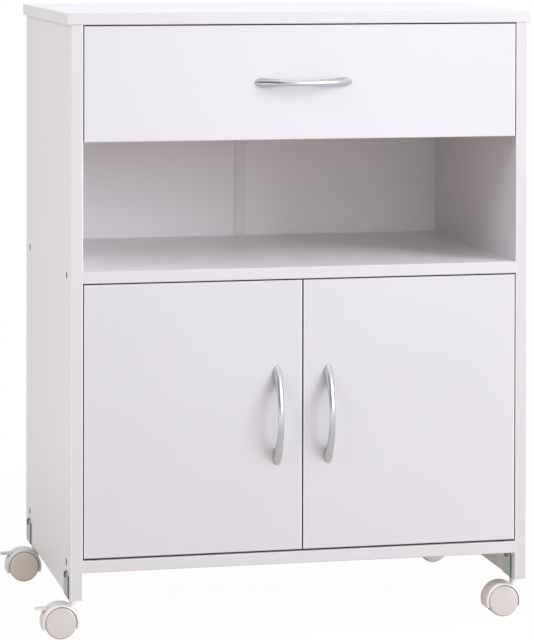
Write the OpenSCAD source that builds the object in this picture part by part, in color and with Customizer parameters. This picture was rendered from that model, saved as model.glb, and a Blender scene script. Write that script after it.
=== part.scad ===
// Printer cabinet of white melamine board: a drawer over an open bay, two doors below,
// and four twin-wheel castors whose steel clamps straddle the side panels.
// Millimetres. +Z is up, the front faces -Y, and the floor is at Z = 0.

/* [Carcass] */
// Width over the two side panels
body_w = 590; // [500:5:800]
// Depth of the side panels
body_d = 395; // [390:5:520]
// Height of the side panels, without the top panel
side_h = 714; // [690:1:900]
// Thickness of every board
board_t = 15; // [15:0.5:18]
// Overhang of the top panel past each side panel
top_overhang = 5; // [0:1:20]
// Radius on the banded edges of the boards
edge_r = 1; // [0.5:0.1:2]
// Radius on the corners of the top panel, seen from above
corner_r = 2; // [1:0.5:12]
// Height of the bottom panel above the lower edge of the side panels
bottom_up = 34; // [34:1:60]
// Distance from the front of the back panels to the back of the cabinet
back_inset = 17; // [12:1:40]
// Thickness of the back panels
back_t = 3; // [2.5:0.5:4]
// Depth of the grooves that hold the back panels
groove_deep = 6; // [4:0.5:7]
// Width of the strip that joins the two back panels
strip_w = 14; // [10:1:24]
// Thickness of the strip's flanges and web
strip_t = 0.9; // [0.7:0.1:1.5]

/* [Doors] */
// Height of the doors
door_h = 340; // [250:1:400]
// Gap between a door or drawer front and the side panel
side_gap = 1.5; // [1.3:0.1:3]
// Gap between the two doors
meeting_gap = 2; // [1:0.5:4]
// Gap above the doors and above the drawer front
top_gap = 1.5; // [1:0.1:3]
// Gap below the doors
bottom_gap = 2.5; // [2:0.1:4]
// Distance of a door's hinge pins from its outer edge
pivot_in = 15; // [15:1:25]
// Distance of a door's hinge pins behind its front face
pivot_back = 6; // [5:0.5:6]
// Diameter of the hinge pins
hinge_pin_d = 5; // [4:0.5:5]
// Length of a hinge pin inside the door
hinge_pin_in = 20; // [12:1:40]
// Length of a hinge pin inside its bush
hinge_pin_out = 8; // [5:0.5:10]
// Width of the double magnet catch
catch_w = 48; // [40:1:60]
// Height of the magnet catch
catch_h = 13; // [12:0.5:18]
// Depth of the magnet catch
catch_d = 16; // [12:1:24]

/* [Handles] */
// Spacing of the two screws of a handle
handle_holes = 96; // [64:1:128]
// Projection of a handle from the front
handle_proj = 26; // [24:1:34]
// Length of a handle's foot on the panel
foot_len = 20; // [18:0.5:24]
// Distance from a handle screw to the middle of its foot
foot_shift = 4; // [3:0.5:5]
// Width of the handle's waist
waist_w = 7.4; // [6:0.2:10]
// Thickness of the handle's waist
waist_t = 6.4; // [5:0.2:8]
// Width of the handle's feet
foot_w = 12; // [10:0.5:16]
// Distance of a door handle from the middle of the cabinet
handle_from_middle = 33; // [20:1:60]

/* [Drawer] */
// Height of the drawer front
front_h = 144; // [130:1:170]
// Height of the drawer box
box_h = 96; // [70:1:100]
// Length of the drawer box behind the front
box_len = 348; // [300:1:356]
// Thickness of the sides and back of the drawer box
box_t = 12; // [9:0.5:15]
// Thickness of the drawer bottom
tray_t = 3; // [2.5:0.5:5]
// Height of the drawer bottom above the lower edge of the box
tray_up = 10; // [8:1:20]
// Room between the drawer box and the side panel
runner_gap = 12.5; // [12.5:0.5:14]
// Distance from the drawer front to the front ends of the runners
runner_back = 2; // [1:0.5:10]
// Distance from the rear ends of the runners to the rear end of the drawer box
runner_short = 1; // [0:0.5:20]
// Thickness of the runners' sheet steel
rail_t = 1.2; // [0.8:0.1:1.4]
// Diameter of the runners' rollers
roller_d = 18; // [16:0.5:20]
// Width of the rollers
roller_w = 7; // [6:0.5:7]
// Height of the runners above the lower edge of the drawer front
runner_up = 4; // [2:0.5:12]

/* [Castors] */
// Height from the floor to the side panels
castor_h = 52; // [50:1:60]
// Distance of a swivel stem from the front or back edge
castor_inset = 33; // [26:1:60]
// Distance that the wheels trail behind the stem
trail = 16.5; // [15:0.5:20]
// Diameter of the castor wheels
wheel_d = 40; // [38:0.5:42]
// Width of one wheel
wheel_w = 10; // [8:0.5:16]
// Radius on the outer shoulders of the wheels
shoulder_r = 3; // [1:0.5:4]
// Space between the two wheels of a castor
wheel_space = 10.5; // [10:0.5:14]
// Diameter of the wheel axle
axle_d = 5; // [4:0.5:6]
// Gap between the wheels and the hood
hood_gap = 0.7; // [0.6:0.1:1.5]
// Thickness of the hood
hood_t = 3; // [2:0.1:3]
// Breadth of the round shoulders along the edges of the hood
hood_soft = 4; // [1:0.5:5]
// Angle below the axle at which the hood ends
hood_drop = 20; // [0:1:30]
// Diameter of the swivel stem
stem_d = 6; // [5:0.5:7]
// Length of a clamp along the panel
clamp_len = 33; // [28:1:52]
// Height of a clamp's plates on the panel
clamp_h = 32.5; // [28:0.5:33]
// Thickness of the clamps' steel
clamp_t = 1.5; // [1:0.1:2]
// Reach of a brake lever's tip from the stem
lever_reach = 47.5; // [45:0.5:56]
// Thickness of a brake lever
lever_t = 3.2; // [2.6:0.2:4.4]
// Width of a brake lever's pedal
lever_w = 9; // [7:0.5:16]

/* [Fasteners] */
// Diameter of the pan-head screws
screw_d = 4; // [3:0.5:4]
// Diameter of the pan heads
screw_head_d = 8; // [7:0.5:9]
// Height of the pan heads
screw_head_h = 2.2; // [1.8:0.1:2.4]
// Diameter of the connector screws' collars
connector_d = 7; // [6:0.5:8]
// Diameter of the connector screws' heads
connector_head_d = 9.5; // [9:0.5:11]
// Distance of the connector screws from the front and back edges
connector_inset = 36; // [20:1:60]
// Length of the connector screws
connector_len = 50; // [40:1:60]
// Diameter of the cam discs
cam_d = 15; // [12:0.5:16]
// Distance of a cam's centre from the board's end
cam_in = 24; // [20:1:34]

/* [Hidden] */

$fn = 64;
// Overshoot of every cut past the surface that it opens
cut = 1;
// Radial clearance of a shaft that turns in its hole
run_play = 0.05;
// Radial clearance of a screw or pin in the hole that it is driven into
snug = 0.02;
// Clearance between a board and the groove or notch round it
board_play = 0.1;
// Clearance between pieces that pass each other
pass_play = 0.3;

// Carcass levels and planes
inner_w = body_w - 2 * board_t;
bottom_z = castor_h + bottom_up;
door_z = bottom_z + board_t + bottom_gap;
shelf_z = door_z + door_h + top_gap;
top_z = castor_h + side_h;
front_z = top_z - top_gap - front_h;
back_y = body_d - back_inset;
door_w = (inner_w - 2 * side_gap - meeting_gap) / 2;
top_groove_deep = board_t / 3;
connector_ys = [connector_inset, body_d - connector_inset];
connector_zs = [bottom_z + board_t / 2, shelf_z + board_t / 2];

// Drawer levels, counted up from the runner's lower flange
rail_z = front_z + runner_up;
flange_top = rail_z + rail_t;
rear_roller_z = flange_top + pass_play / 2 + roller_d / 2;
front_roller_z = flange_top + 2 * pass_play + roller_d / 2;
slide_z = front_roller_z + roller_d / 2 + pass_play / 2;
lip_z = slide_z + rail_t + 2 * pass_play;
rail_screw_z = lip_z + rail_t + screw_head_d / 2 + 1;
rail_top_z = rail_screw_z + screw_head_d / 2;
box_z = slide_z + rail_t;
box_w = inner_w - 2 * runner_gap;
tray_z = box_z + tray_up;
runner_y = board_t + runner_back;
runner_len = box_len - runner_back - runner_short;
roller_end = roller_d / 2 + 3;
roller_pin_d = 4;
roller_pin_head_d = roller_pin_d + 3;
roller_pin_head_h = 0.6;
roller_u = rail_t + 1;
flange_w = roller_u + roller_w + 1;
lip_w = flange_w / 2;
slide_u = rail_t + 2;

// Handle arc, through the middle of both feet and the waist
arc_half = handle_holes / 2 + foot_shift;
arc_rise = handle_proj - waist_t / 2;
arc_r = (arc_half * arc_half + arc_rise * arc_rise) / (2 * arc_rise);
arc_foot = asin(arc_half / arc_r);
foot_t = foot_len * sin(arc_foot);
arc_end = arc_foot * 1.18;
handle_rings = 28;
handle_sides = 18;
handle_bore = 8;
handle_screw_len = board_t + handle_bore - pass_play;
drawer_handle_z = front_z + front_h / 2;
door_handle_z = door_z + door_h / 2;

// Castor planes
wheel_r = wheel_d / 2;
hub_z = wheel_r;
block_w = wheel_space - 3 * pass_play;
hood_in = wheel_r + hood_gap;
hood_out = hood_in + hood_t;
hood_half = wheel_space / 2 + wheel_w - 1;
wheel_side = wheel_space / 2;
wheel_face = wheel_side + wheel_w;
wheel_dome = 0.6;
face_t = 3;
rim_t = 3;
hub_t = 2.5;
flat_deep = 0.9;
flat_angles = [0, 32];
flat_reach = wheel_r * 0.4;
collar_h = 1;
neck_top = castor_h - clamp_t - collar_h - pass_play;
stem_low = hub_z + 4;
clamp_screw_up = clamp_h - screw_head_d / 2 - 2;
clamp_screw_len = board_t / 2 - 0.5;
clamp_x = (body_w - board_t) / 2;
castor_ys = [castor_inset, body_d - castor_inset];
// Brake lever, measured from the axle
pivot_x = -9;
pivot_z = wheel_r - 3;
pivot_d = 3;
pedal_in = -(wheel_r - 4);
pedal_round = 2.5;
lever_low = pivot_z - lever_t / 2;
lever_tip = -(lever_reach - trail);
slot_low = lever_low - 4.4;
arm_w = block_w * 0.4;

// Hinge pins turn in bushes, and a strike plate on each door meets the catch
hinge_x = inner_w / 2 - side_gap - pivot_in;
bush_d = hinge_pin_d + 3;
bush_in = hinge_pin_out + 1;
strike_t = 1;
strike_w = 16;
strike_h = 9;
prong_d = 3;
prong_len = 8;
catch_y = board_t + strike_t + pass_play;
catch_screw_y = catch_y + catch_d * 0.65;
catch_screw_in = 9;

// Screws stop short of the faces opposite
rail_screw_len = board_t - 3;
back_screw_len = back_t + board_t;
back_screw_xs = [-0.42, -0.12, 0.12, 0.42] * inner_w;
slide_screw_len = box_t - 2;
rail_screw_end = 40;
rail_hole_ys = [runner_y + rail_screw_end, runner_y + runner_len / 2,
  runner_y + runner_len - rail_screw_end];
slide_hole_ys = [runner_y + rail_screw_end * 0.6, runner_y + runner_len / 2,
  runner_y + runner_len - rail_screw_end];

// Cam and connector fittings
cam_deep = board_t - 3;
box_cam_deep = box_t - 2;
cam_bolt_d = 6;
cam_thread_d = 5;
cam_thread_len = 11;
cam_bolt_len = cam_in - 3;
cam_slot_d = cam_bolt_d + 1.6;
cam_ys = [body_d / 8, body_d - body_d / 8];
box_cam_zs = [box_z + box_h * 0.3, box_z + box_h * 0.8];
connector_sink = (connector_head_d - connector_d) / 2;
connector_thread_d = connector_d - 2;
connector_collar = board_t - 2;
hex_key = 4;

// The origin lies under the middle of the whole object, levers and handles included
low_x = -clamp_x - lever_reach;
high_x = body_w / 2 + top_overhang;
shift_x = -(low_x + high_x) / 2;
shift_y = -(body_d - handle_proj) / 2;

module home() {
  translate([shift_x, shift_y, 0]) children();
}

module right_hand() {
  mirror([1, 0, 0]) children();
}

// Rectangle with round corners, made of true arcs
module round_rect(w, h, r) {
  translate([r, 0]) square([w - 2 * r, h]);
  translate([0, r]) square([w, h - 2 * r]);
  for (x = [r, w - r], y = [r, h - r]) translate([x, y]) circle(r);
}

// Solid along X from an outline drawn in Y and Z
module along_x(len) {
  rotate([90, 0, 90]) linear_extrude(len) children();
}

// Solid along +Y from an outline drawn in X and Z
module along_y(len) {
  translate([0, len, 0]) rotate([90, 0, 0]) linear_extrude(len) children();
}

// Board that lies flat, its banded edges rounded
module flat_board(w, d) {
  along_x(w) round_rect(d, board_t, edge_r);
}

// Board that stands across the front, rounded on all its edges
module front_board(w, h) {
  intersection() {
    linear_extrude(h) round_rect(w, board_t, edge_r);
    along_x(w) round_rect(board_t, h, edge_r);
  }
}

// Round bars and holes along X, centred on the origin's Y and Z
module bar_x(d, len) {
  rotate([0, 90, 0]) cylinder(d = d, h = len);
}

// Round bars and holes along +Y
module bar_y(d, len) {
  rotate([-90, 0, 0]) cylinder(d = d, h = len);
}

// Pan-head screw driven along +Z, its head below Z = 0
module pan_screw(len) {
  tip = screw_d / 2;
  difference() {
    union() {
      rotate_extrude() polygon(concat(
        [[0, -screw_head_h], [screw_head_d / 5, -screw_head_h]],
        [for (a = [0:15:90]) [
          screw_head_d / 5 + (screw_head_d * 0.3) * sin(a),
          -screw_head_h * (0.3 + 0.7 * cos(a))]],
        [[screw_head_d / 2, 0], [screw_d / 2, 0], [screw_d / 2, len - tip], [0, len]]));
    }
    for (a = [0, 90]) rotate([0, 0, a])
      translate([-screw_head_d / 4, -0.4, -screw_head_h - cut])
        cube([screw_head_d / 2, 0.8, cut + screw_head_h / 2]);
  }
}

// Connector screw driven along +Z, its flat head flush at Z = 0
module connector_screw() {
  difference() {
    rotate_extrude() polygon([
      [0, 0], [connector_head_d / 2, 0], [connector_d / 2, connector_sink],
      [connector_d / 2, connector_collar], [connector_thread_d / 2, connector_collar],
      [connector_thread_d / 2, connector_len - 3], [0, connector_len]]);
    translate([0, 0, -cut]) cylinder(d = hex_key / cos(30), h = cut + hex_key, $fn = 6);
  }
}

// Hole that a connector screw fills
module connector_hole() {
  p = 2 * snug;
  translate([0, 0, -cut]) cylinder(d = connector_head_d + p, h = cut);
  rotate_extrude() polygon([
    [0, 0], [connector_head_d / 2 + snug, 0], [connector_d / 2 + snug, connector_sink],
    [connector_d / 2 + snug, connector_collar + snug],
    [connector_thread_d / 2 + snug, connector_collar + snug],
    [connector_thread_d / 2 + snug, connector_len + snug], [0, connector_len + snug]]);
}

module at_connectors() {
  for (y = connector_ys, z = connector_zs)
    translate([-body_w / 2, y, z]) rotate([0, 90, 0]) children();
}

// Cam bolt that hangs from Z = 0, its thread above
module cam_bolt() {
  translate([0, 0, -cut / 4]) cylinder(d = cam_thread_d, h = cam_thread_len + cut / 4);
  translate([0, 0, -cam_bolt_len]) cylinder(d = cam_bolt_d, h = cam_bolt_len);
}

// Cam disc in a board's face at Z = 0, the board below it, its mouth towards +Y
module cam_disc() {
  difference() {
    translate([0, 0, -cam_deep + 2 * snug]) cylinder(d = cam_d - 4 * snug, h = cam_deep - 2 * snug);
    translate([0, 0, -board_t / 2]) translate([0, -cam_bolt_d / 2, 0]) bar_y(cam_slot_d, cam_d);
    for (a = [45, 135]) rotate([0, 0, a])
      translate([-cam_d / 4, -0.8, -1.5]) cube([cam_d / 2, 1.6, 1.5 + cut]);
  }
}

// Holes for a cam disc in the face at Z = 0 and for its bolt from the board's end
module cam_holes(thick) {
  translate([0, 0, -min(cam_deep, thick - 2)]) cylinder(d = cam_d, h = cam_deep + cut);
  translate([0, 0, -thick / 2]) bar_y(cam_slot_d, cam_in + cut);
}

// Places of the cam discs on the left side panel, mouth up
module at_side_cams() {
  for (y = cam_ys) translate([-inner_w / 2, y, top_z - cam_in])
    rotate([0, 90, 0]) rotate([0, 0, 90]) children();
}

// Top panel
module top_panel() {
  w = body_w + 2 * top_overhang;
  color("white") home() difference() {
    translate([-w / 2, 0, top_z]) intersection() {
      linear_extrude(board_t) round_rect(w, body_d, corner_r);
      along_x(w) round_rect(body_d, board_t, edge_r);
      along_y(body_d) round_rect(w, board_t, edge_r);
    }
    translate([-inner_w / 2 - groove_deep, back_y - board_play, top_z - cut])
      cube([inner_w + 2 * groove_deep, back_t + 2 * board_play, top_groove_deep + cut]);
    for (x = [-clamp_x, clamp_x], y = cam_ys) translate([x, y, top_z - cut])
      cylinder(d = cam_thread_d + 2 * snug, h = cam_thread_len + cut);
  }
}

// Side panels: grooved for the back, bored for every fitting that they carry
module side_board() {
  difference() {
    translate([-body_w / 2, 0, castor_h]) linear_extrude(side_h)
      round_rect(board_t, body_d, edge_r);
    translate([-inner_w / 2 - groove_deep, back_y - board_play, castor_h - cut])
      cube([groove_deep + cut, back_t + 2 * board_play, side_h + 2 * cut]);
    at_connectors() connector_hole();
    at_side_cams() cam_holes(board_t);
    for (y = rail_hole_ys) translate([-inner_w / 2 - rail_screw_len, y, rail_screw_z])
      bar_x(screw_d + 2 * snug, rail_screw_len + cut);
    for (y = castor_ys) translate([-body_w / 2 - cut, y, castor_h + clamp_screw_up]) {
      bar_x(screw_d + 2 * snug, clamp_screw_len + cut);
      translate([board_t + 2 * cut - clamp_screw_len - cut, 0, 0])
        bar_x(screw_d + 2 * snug, clamp_screw_len + cut);
    }
  }
}

module left_side_panel() {
  color("white") home() side_board();
}

module right_side_panel() {
  color("white") home() right_hand() side_board();
}

// Shelf or bottom panel between the sides, notched behind for the joint strip
module cross_board(z) {
  difference() {
    translate([-inner_w / 2, 0, z]) flat_board(inner_w, back_y);
    translate([-strip_w / 2 - pass_play, back_y - strip_t - pass_play, z - cut])
      cube([strip_w + 2 * pass_play, strip_t + pass_play + cut, board_t + 2 * cut]);
    at_connectors() connector_hole();
    right_hand() at_connectors() connector_hole();
    at_back_screws(z) translate([0, 0, -cut])
      cylinder(d = screw_d + 2 * snug, h = back_screw_len + cut);
  }
}

// Places of the screws through the back panels into a board at height z, driven to the front
module at_back_screws(z) {
  for (x = back_screw_xs) translate([x, back_y + back_t, z + board_t / 2])
    rotate([90, 0, 0]) children();
}

module middle_shelf() {
  color("white") home() difference() {
    cross_board(shelf_z);
    for (x = [-1, 1]) translate([x * hinge_x, pivot_back, shelf_z - cut])
      cylinder(d = bush_d + 2 * snug, h = bush_in + cut);
    for (x = [-1, 1]) translate([x * catch_w / 4, catch_screw_y, shelf_z - cut])
      cylinder(d = screw_d + 2 * snug, h = catch_screw_in + cut);
  }
}

module bottom_panel() {
  color("white") home() difference() {
    cross_board(bottom_z);
    for (x = [-1, 1]) translate([x * hinge_x, pivot_back, bottom_z + board_t - bush_in])
      cylinder(d = bush_d + 2 * snug, h = bush_in + cut);
  }
}

// Back panels in the grooves of the sides and the top, and the strip between them
module back_half() {
  difference() {
    translate([-inner_w / 2 - groove_deep + 2 * board_play, back_y, bottom_z])
      cube([inner_w / 2 + groove_deep - 2 * board_play - strip_t / 2 - board_play, back_t,
        top_z + top_groove_deep - 2 * board_play - bottom_z]);
    for (z = [bottom_z, shelf_z]) at_back_screws(z) translate([0, 0, -cut])
      cylinder(d = screw_d + 2 * snug, h = back_t + 2 * cut);
  }
}

module left_back_panel() {
  color("gainsboro") home() back_half();
}

module right_back_panel() {
  color("gainsboro") home() right_hand() back_half();
}

module back_joint_strip() {
  gap = back_t + 2 * snug;
  color("whitesmoke") home() translate([0, back_y + back_t / 2, bottom_z])
    linear_extrude(top_z - bottom_z - pass_play) {
      square([strip_t, gap + strip_t], center = true);
      for (s = [-1, 1]) translate([0, s * (gap + strip_t) / 2]) square([strip_w, strip_t], center = true);
    }
}

module connector_screws() {
  color("dimgray") home() {
    at_connectors() connector_screw();
    right_hand() at_connectors() connector_screw();
  }
}

module cam_connectors() {
  color("silver") home() for (s = [0, 1]) mirror([s, 0, 0]) {
    at_side_cams() cam_disc();
    for (y = cam_ys) translate([-clamp_x, y, top_z]) cam_bolt();
  }
}

// Pan-head screws of the clamps, the runners and the back panels
module pan_head_screws() {
  color("dimgray") home() {
    for (s = [0, 1]) mirror([s, 0, 0]) {
      for (y = castor_ys) translate([0, y, castor_h + clamp_screw_up]) {
        translate([-body_w / 2 - clamp_t, 0, 0]) rotate([0, 90, 0])
          pan_screw(clamp_screw_len + clamp_t - snug);
        translate([-inner_w / 2 + clamp_t, 0, 0]) rotate([0, -90, 0])
          pan_screw(clamp_screw_len + clamp_t - snug);
      }
      for (y = rail_hole_ys) translate([-inner_w / 2 + rail_t, y, rail_screw_z]) rotate([0, -90, 0])
        pan_screw(rail_screw_len + rail_t - snug);
    }
    for (z = [bottom_z, shelf_z]) at_back_screws(z) pan_screw(back_screw_len - snug);
  }
}

// Steel sheet profile with its screw holes, seen from the side panel
module cabinet_rail() {
  color("ghostwhite") translate([-inner_w / 2, 0, 0]) {
    difference() {
      translate([0, runner_y, 0]) along_y(runner_len) {
        translate([0, rail_z]) square([rail_t, rail_top_z - rail_z]);
        translate([0, rail_z]) square([flange_w, rail_t]);
        translate([0, lip_z]) square([lip_w, rail_t]);
      }
      for (y = rail_hole_ys) translate([-cut, y, rail_screw_z])
        bar_x(screw_d + 2 * snug, rail_t + 2 * cut);
    }
    translate([0, runner_y + roller_end, front_roller_z]) {
      bar_x(roller_pin_d, roller_u + roller_w + pass_play + roller_pin_head_h);
      bar_x(roller_pin_head_d, roller_u - pass_play);
      translate([roller_u + roller_w + pass_play, 0, 0]) bar_x(roller_pin_head_d, roller_pin_head_h);
    }
  }
}

module left_cabinet_rail() {
  home() cabinet_rail();
}

module right_cabinet_rail() {
  home() right_hand() cabinet_rail();
}

// Roller with a rounded tread
module roller() {
  r = roller_d / 2;
  e = roller_d / 24;
  color("white") rotate([0, 90, 0]) rotate_extrude() polygon([
    [roller_pin_d / 2 + run_play, 0], [r - e, 0], [r, e], [r, roller_w - e],
    [r - e, roller_w], [roller_pin_d / 2 + run_play, roller_w]]);
}

module front_roller() {
  translate([-inner_w / 2 + roller_u, runner_y + roller_end, front_roller_z]) roller();
}

module left_cabinet_roller() {
  home() front_roller();
}

module right_cabinet_roller() {
  home() right_hand() front_roller();
}

// Blind bush in the board below Z = 0, standing out by the gap that it keeps under the door
module bush(proud) {
  difference() {
    translate([0, 0, -bush_in]) cylinder(d = bush_d, h = bush_in + proud);
    translate([0, 0, -hinge_pin_out - pass_play])
      cylinder(d = hinge_pin_d + 2 * run_play, h = hinge_pin_out + pass_play + proud + cut);
  }
}

module hinge_bushes() {
  color("dimgray") home() for (x = [-1, 1]) {
    translate([x * hinge_x, pivot_back, bottom_z + board_t]) bush(bottom_gap - pass_play);
    translate([x * hinge_x, pivot_back, shelf_z]) mirror([0, 0, 1]) bush(top_gap - pass_play);
  }
}

// Double magnet catch under the shelf, with the screws that hold it
module magnet_catch() {
  low = shelf_z - catch_h;
  color("white") home() {
    difference() {
      union() {
        translate([-catch_w / 2, catch_y + 1, low]) along_x(catch_w)
          round_rect(catch_d - 1, catch_h, 1);
        for (s = [-1, 1]) translate([s * catch_w / 4 - strike_w / 2, catch_y, low + 2])
          cube([strike_w, 2, catch_h - 4]);
      }
      for (s = [-1, 1]) translate([s * catch_w / 4, catch_screw_y, low - cut])
        cylinder(d = screw_d + 2 * snug, h = catch_h + 2 * cut);
    }
    for (s = [-1, 1]) translate([s * catch_w / 4, catch_screw_y, low])
      pan_screw(catch_h + catch_screw_in - snug);
  }
}

// Drawer front, bored for the handle and the cam bolts and grooved for the tray
module drawer_front() {
  w = inner_w - 2 * side_gap;
  color("white") home() difference() {
    translate([-w / 2, 0, front_z]) front_board(w, front_h);
    for (x = [-1, 1]) translate([x * handle_holes / 2, -cut, drawer_handle_z])
      bar_y(screw_d + 2 * snug, board_t + 2 * cut);
    translate([-box_w / 2 + box_t / 2 - board_play, board_t - box_t / 2, tray_z - board_play])
      cube([box_w - box_t + 2 * board_play, box_t / 2 + cut, tray_t + 2 * board_play]);
    for (x = [-1, 1], z = box_cam_zs) translate([x * (box_w - box_t) / 2, board_t, z])
      rotate([180, 0, 0]) bar_y(cam_thread_d + 2 * snug, cam_thread_len);
  }
}

// Cam discs sit in the inner face of a drawer side, their mouths to the front
module at_box_cams() {
  for (z = box_cam_zs) translate([-box_w / 2 + box_t, board_t + cam_in, z])
    rotate([0, 90, 0]) rotate([0, 0, 180]) children();
}

module box_cam_disc() {
  difference() {
    translate([0, 0, -box_cam_deep + snug]) cylinder(d = cam_d - 4 * snug, h = box_cam_deep - snug);
    translate([0, -cam_bolt_d / 2, -box_t / 2]) bar_y(cam_slot_d, cam_d);
    for (a = [45, 135]) rotate([0, 0, a])
      translate([-cam_d / 4, -0.8, -1]) cube([cam_d / 2, 1.6, 1 + cut]);
  }
}

module box_side() {
  difference() {
    translate([-box_w / 2, board_t, box_z]) cube([box_t, box_len, box_h]);
    translate([-box_w / 2 + box_t / 2 - board_play, board_t - cut, tray_z - board_play])
      cube([box_t / 2 + board_play + cut, box_len + 2 * cut, tray_t + 2 * board_play]);
    at_box_cams() {
      translate([0, 0, -box_cam_deep]) cylinder(d = cam_d, h = box_cam_deep + cut);
      translate([0, 0, -box_t / 2]) bar_y(cam_slot_d, cam_in + cut);
    }
    at_box_screws() translate([0, 0, -cut])
      cylinder(d = screw_d + 2 * snug, h = box_t + 2 * cut);
    at_slide_screws() translate([0, 0, -cut])
      cylinder(d = screw_d + 2 * snug, h = slide_screw_len + cut);
  }
}

// Screws through a drawer side into the end of the drawer back
module at_box_screws() {
  for (z = [box_z + box_h * 0.35, box_z + box_h * 0.75])
    translate([-box_w / 2, board_t + box_len - box_t / 2, z]) rotate([0, 90, 0]) children();
}

// Screws through the drawer rail into the drawer side
module at_slide_screws() {
  for (y = slide_hole_ys)
    translate([-box_w / 2, y, box_z + screw_head_d / 2 + 3]) rotate([0, 90, 0]) children();
}

module drawer_left_side() {
  color("white") home() box_side();
}

module drawer_right_side() {
  color("white") home() right_hand() box_side();
}

// The drawer back stands on the tray between the sides
module drawer_back() {
  low = tray_z + tray_t + board_play;
  color("white") home() difference() {
    translate([-box_w / 2 + box_t, board_t + box_len - box_t, low])
      cube([box_w - 2 * box_t, box_t, box_z + box_h - low]);
    for (s = [0, 1]) mirror([s, 0, 0]) at_box_screws()
      cylinder(d = screw_d + 2 * snug, h = 3 * box_t);
  }
}

module drawer_bottom() {
  color("gainsboro") home()
    translate([-box_w / 2 + box_t / 2, board_t - box_t / 2 + board_play, tray_z])
      cube([box_w - box_t, box_len + box_t / 2 - board_play, tray_t]);
}

module drawer_fasteners() {
  color("silver") home() {
    for (s = [0, 1]) mirror([s, 0, 0]) {
      at_box_cams() box_cam_disc();
      for (z = box_cam_zs) translate([-(box_w - box_t) / 2, board_t, z]) rotate([90, 0, 0]) cam_bolt();
      at_box_screws() pan_screw(3 * box_t - snug);
      at_slide_screws() translate([0, 0, -rail_t]) pan_screw(slide_screw_len + rail_t - snug);
    }
    for (x = [-1, 1]) translate([x * handle_holes / 2, board_t, drawer_handle_z]) rotate([90, 0, 0])
      pan_screw(handle_screw_len);
  }
}

// Drawer member of a runner: it carries the box and rolls on the front roller
module drawer_rail() {
  rear = runner_y + runner_len - roller_end;
  tab_u = roller_u + roller_w + pass_play;
  color("ghostwhite") {
    difference() {
      translate([-inner_w / 2, runner_y, 0]) along_y(runner_len) {
        translate([slide_u, slide_z]) square([runner_gap + box_t - slide_u, rail_t]);
        translate([runner_gap - rail_t, slide_z]) square([rail_t, 2 * screw_head_d]);
      }
      at_slide_screws() translate([0, 0, -rail_t - cut])
        cylinder(d = screw_d + 2 * snug, h = rail_t + 2 * cut);
    }
    translate([-inner_w / 2, 0, 0]) {
      translate([tab_u, rear - roller_d / 2, rear_roller_z - roller_d / 4])
        cube([rail_t, roller_d, slide_z + rail_t / 2 - rear_roller_z + roller_d / 4]);
      translate([roller_u - 2 * roller_pin_head_h / 3 - roller_pin_head_h / 2, rear, rear_roller_z]) {
        bar_x(roller_pin_head_d, roller_pin_head_h);
        bar_x(roller_pin_d, tab_u - roller_u + rail_t + roller_pin_head_h);
      }
    }
  }
}

module left_drawer_rail() {
  home() drawer_rail();
}

module right_drawer_rail() {
  home() right_hand() drawer_rail();
}

module rear_roller() {
  translate([-inner_w / 2 + roller_u, runner_y + runner_len - roller_end, rear_roller_z]) roller();
}

module left_drawer_roller() {
  home() rear_roller();
}

module right_drawer_roller() {
  home() right_hand() rear_roller();
}

// Bow handle along X on the plane Y = 0: an oval bar swept along an arc
function flare(a) = pow(abs(a) / arc_foot, 2.2);
function oval_w(a) = waist_w + (foot_w - waist_w) * min(1, flare(a));
function oval_t(a) = waist_t + (foot_t - waist_t) * flare(a);
function handle_point(a, b) =
  let (r = arc_r + oval_t(a) / 2 * cos(b))
  [r * sin(a), arc_r - arc_rise - r * cos(a), oval_w(a) / 2 * sin(b)];

module bow_handle() {
  n = handle_rings;
  m = handle_sides;
  points = [for (i = [0:n], j = [0:m - 1]) handle_point(-arc_end + 2 * arc_end * i / n, 360 * j / m)];
  walls = [for (i = [0:n - 1], j = [0:m - 1])
    let (k = (j + 1) % m)
    each [[i * m + j, (i + 1) * m + j, i * m + k], [i * m + k, (i + 1) * m + j, (i + 1) * m + k]]];
  first = [for (j = [0:m - 1]) j];
  last = [for (j = [m - 1:-1:0]) n * m + j];
  color("silver") difference() {
    intersection() {
      polyhedron(points, concat(walls, [first, last]));
      translate([-arc_half * 2, -2 * handle_proj, -foot_w])
        cube([arc_half * 4, 2 * handle_proj, 2 * foot_w]);
    }
    for (x = [-1, 1]) translate([x * handle_holes / 2, -handle_bore, 0])
      bar_y(screw_d + 2 * snug, handle_bore + cut);
  }
}

module drawer_handle() {
  home() translate([0, 0, drawer_handle_z]) bow_handle();
}

// Doors: bored for pins, handle screws and the strike plate's prongs
module door_board() {
  difference() {
    translate([-inner_w / 2 + side_gap, 0, door_z]) front_board(door_w, door_h);
    for (z = [-cut, door_h - hinge_pin_in]) translate([-hinge_x, pivot_back, door_z + z])
      cylinder(d = hinge_pin_d + 2 * snug, h = hinge_pin_in + cut);
    at_door_handle() for (z = [-1, 1]) translate([0, -cut, z * handle_holes / 2])
      bar_y(screw_d + 2 * snug, board_t + 2 * cut);
    at_strike() for (x = [-1, 1]) translate([x * strike_w / 4, cut, 0])
      rotate([180, 0, 0]) bar_y(prong_d + 2 * snug, prong_len + cut);
  }
}

module at_door_handle() {
  translate([-handle_from_middle, 0, door_handle_z]) children();
}

module at_strike() {
  translate([-catch_w / 4, board_t, shelf_z - catch_h / 2]) children();
}

module door_screws() {
  at_door_handle() for (z = [-1, 1]) translate([0, board_t, z * handle_holes / 2])
    rotate([90, 0, 0]) pan_screw(handle_screw_len);
}

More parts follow.
